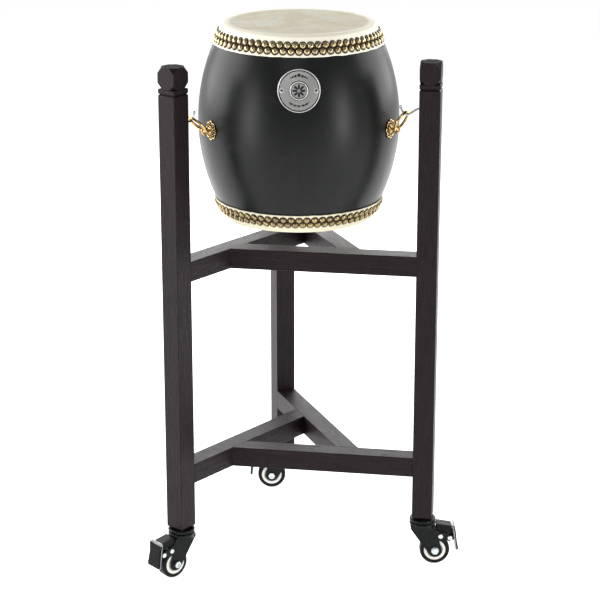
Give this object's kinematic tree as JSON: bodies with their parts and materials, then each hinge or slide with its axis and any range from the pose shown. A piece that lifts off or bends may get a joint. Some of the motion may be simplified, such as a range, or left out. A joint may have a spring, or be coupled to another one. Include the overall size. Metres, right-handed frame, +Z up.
{
  "type": "barrel drum on a rolling stand",
  "caption": "Barrel drum with nailed hide heads, hung by its rings from the hooks of a timber post stand on braked swivel casters.",
  "frame": {"origin": "on the floor, on the axis that the stand's posts stand round", "axes": "+Z up; -Y is the front, where the drum's badge faces; +X to the right seen from the front"},
  "size_m": [0.5404, 0.4598, 0.939],
  "materials": {
    "stained_wood": "dark brown-black stain, open grain",
    "dowel_wood": "bare beech",
    "black_lacquer": "satin black lacquer over glued staves",
    "hide": "cured cowhide",
    "nail_brass": "antique brass",
    "gold_brass": "polished and gilt",
    "badge_steel": "stippled",
    "hook_steel": "bright zinc plate",
    "zinc_steel": "zinc plate",
    "black_steel": "gloss black paint",
    "white_nylon": "moulded nylon",
    "black_plastic": "moulded",
    "tread": "solid polyurethane",
    "pad_rubber": "ribbed rubber",
    "insert_brass": "plain"
  },
  "bodies": {
    "stand": {"post_right": "stained_wood", "post_left": "stained_wood", "post_rear": "stained_wood", "upper_rail_right": "stained_wood", "upper_rail_left": "stained_wood", "upper_rail_rear": "stained_wood", "lower_rail_right": "stained_wood", "lower_rail_left": "stained_wood", "lower_rail_rear": "stained_wood", "rail_dowels": "dowel_wood", "stem_inserts": "insert_brass", "hook_right": "hook_steel", "hook_left": "hook_steel", "hook_rear": "hook_steel", "caster_right_top_race": "black_steel", "caster_right_balls": "zinc_steel", "caster_left_top_race": "black_steel", "caster_left_balls": "zinc_steel", "caster_rear_top_race": "black_steel", "caster_rear_balls": "zinc_steel"},
    "drum": {"drum_shell": "black_lacquer", "top_head": "hide", "bottom_head": "hide", "top_nails": "nail_brass", "bottom_nails": "nail_brass", "badge": "badge_steel", "badge_pins": "badge_steel", "rosettes": "gold_brass", "ring_bolts": "gold_brass", "ring_bolt_nuts": "zinc_steel"},
    "ring_right_body": {"ring_right": "gold_brass"},
    "ring_left_body": {"ring_left": "gold_brass"},
    "ring_rear_body": {"ring_rear": "gold_brass"},
    "swivel_right": {"caster_right_fork": "black_steel", "caster_right_axle_bolt": "zinc_steel", "caster_right_axle_nut": "zinc_steel", "caster_right_rivets": "zinc_steel"},
    "wheel_right": {"caster_right_hub": "white_nylon", "caster_right_tyre": "tread"},
    "brake_right": {"caster_right_brake_lever": "zinc_steel", "caster_right_brake_cover": "black_plastic", "caster_right_pedal_pad": "pad_rubber"},
    "swivel_left": {"caster_left_fork": "black_steel", "caster_left_axle_bolt": "zinc_steel", "caster_left_axle_nut": "zinc_steel", "caster_left_rivets": "zinc_steel"},
    "wheel_left": {"caster_left_hub": "white_nylon", "caster_left_tyre": "tread"},
    "brake_left": {"caster_left_brake_lever": "zinc_steel", "caster_left_brake_cover": "black_plastic", "caster_left_pedal_pad": "pad_rubber"},
    "swivel_rear": {"caster_rear_fork": "black_steel", "caster_rear_axle_bolt": "zinc_steel", "caster_rear_axle_nut": "zinc_steel", "caster_rear_rivets": "zinc_steel"},
    "wheel_rear": {"caster_rear_hub": "white_nylon", "caster_rear_tyre": "tread"},
    "brake_rear": {"caster_rear_brake_lever": "zinc_steel", "caster_rear_brake_cover": "black_plastic", "caster_rear_pedal_pad": "pad_rubber"}
  },
  "joints": [
    {"name": "drum_lift", "type": "slide", "parent": "stand", "child": "drum", "axis": [0, 0, 1], "range_m": [0, 0.35]},
    {"name": "ring_right_swing", "type": "hinge", "parent": "drum", "child": "ring_right_body", "pos_m": [0.16715, -0.08522, 0.774], "axis": [0.4606, 0.8876, 0], "range_deg": [0, 150]},
    {"name": "ring_left_swing", "type": "hinge", "parent": "drum", "child": "ring_left_body", "pos_m": [-0.14909, -0.0973, 0.774], "axis": [0.5269, -0.8499, 0], "range_deg": [0, 132]},
    {"name": "ring_rear_swing", "type": "hinge", "parent": "drum", "child": "ring_rear_body", "pos_m": [-0.00858, 0.18005, 0.774], "axis": [-0.997, -0.0779, 0], "range_deg": [0, 137]},
    {"name": "caster_right_swivel", "type": "hinge", "parent": "stand", "child": "swivel_right", "pos_m": [0.22156, -0.10004, 0.079], "axis": [0, 0, 1], "continuous": true},
    {"name": "caster_right_roll", "type": "hinge", "parent": "swivel_right", "child": "wheel_right", "pos_m": [0.24305, -0.09929, 0.026], "axis": [-0.0349, 0.9994, 0], "continuous": true},
    {"name": "caster_right_brake", "type": "hinge", "parent": "swivel_right", "child": "brake_right", "pos_m": [0.26893, -0.09839, 0.05], "axis": [-0.0349, 0.9994, 0], "range_deg": [0, 12]},
    {"name": "caster_left_swivel", "type": "hinge", "parent": "stand", "child": "swivel_left", "pos_m": [-0.19742, -0.14186, 0.079], "axis": [0, 0, 1], "continuous": true},
    {"name": "caster_left_roll", "type": "hinge", "parent": "swivel_left", "child": "wheel_left", "pos_m": [-0.21389, -0.15568, 0.026], "axis": [0.6428, -0.766, 0], "continuous": true},
    {"name": "caster_left_brake", "type": "hinge", "parent": "swivel_left", "child": "brake_left", "pos_m": [-0.23373, -0.17233, 0.05], "axis": [0.6428, -0.766, 0], "range_deg": [0, 12]},
    {"name": "caster_rear_swivel", "type": "hinge", "parent": "stand", "child": "swivel_rear", "pos_m": [-0.02414, 0.2419, 0.079], "axis": [0, 0, 1], "continuous": true},
    {"name": "caster_rear_roll", "type": "hinge", "parent": "swivel_rear", "child": "wheel_rear", "pos_m": [-0.04564, 0.2419, 0.026], "axis": [0, -1, 0], "continuous": true},
    {"name": "caster_rear_brake", "type": "hinge", "parent": "swivel_rear", "child": "brake_rear", "pos_m": [-0.07154, 0.2419, 0.05], "axis": [0, -1, 0], "range_deg": [0, 12]}
  ],
  "couplings": [
    {"joint": "ring_right_swing", "follows": "drum_lift", "rad_per_m": 7.4762},
    {"joint": "ring_left_swing", "follows": "drum_lift", "rad_per_m": 6.5791},
    {"joint": "ring_rear_swing", "follows": "drum_lift", "rad_per_m": 6.8283}
  ]
}
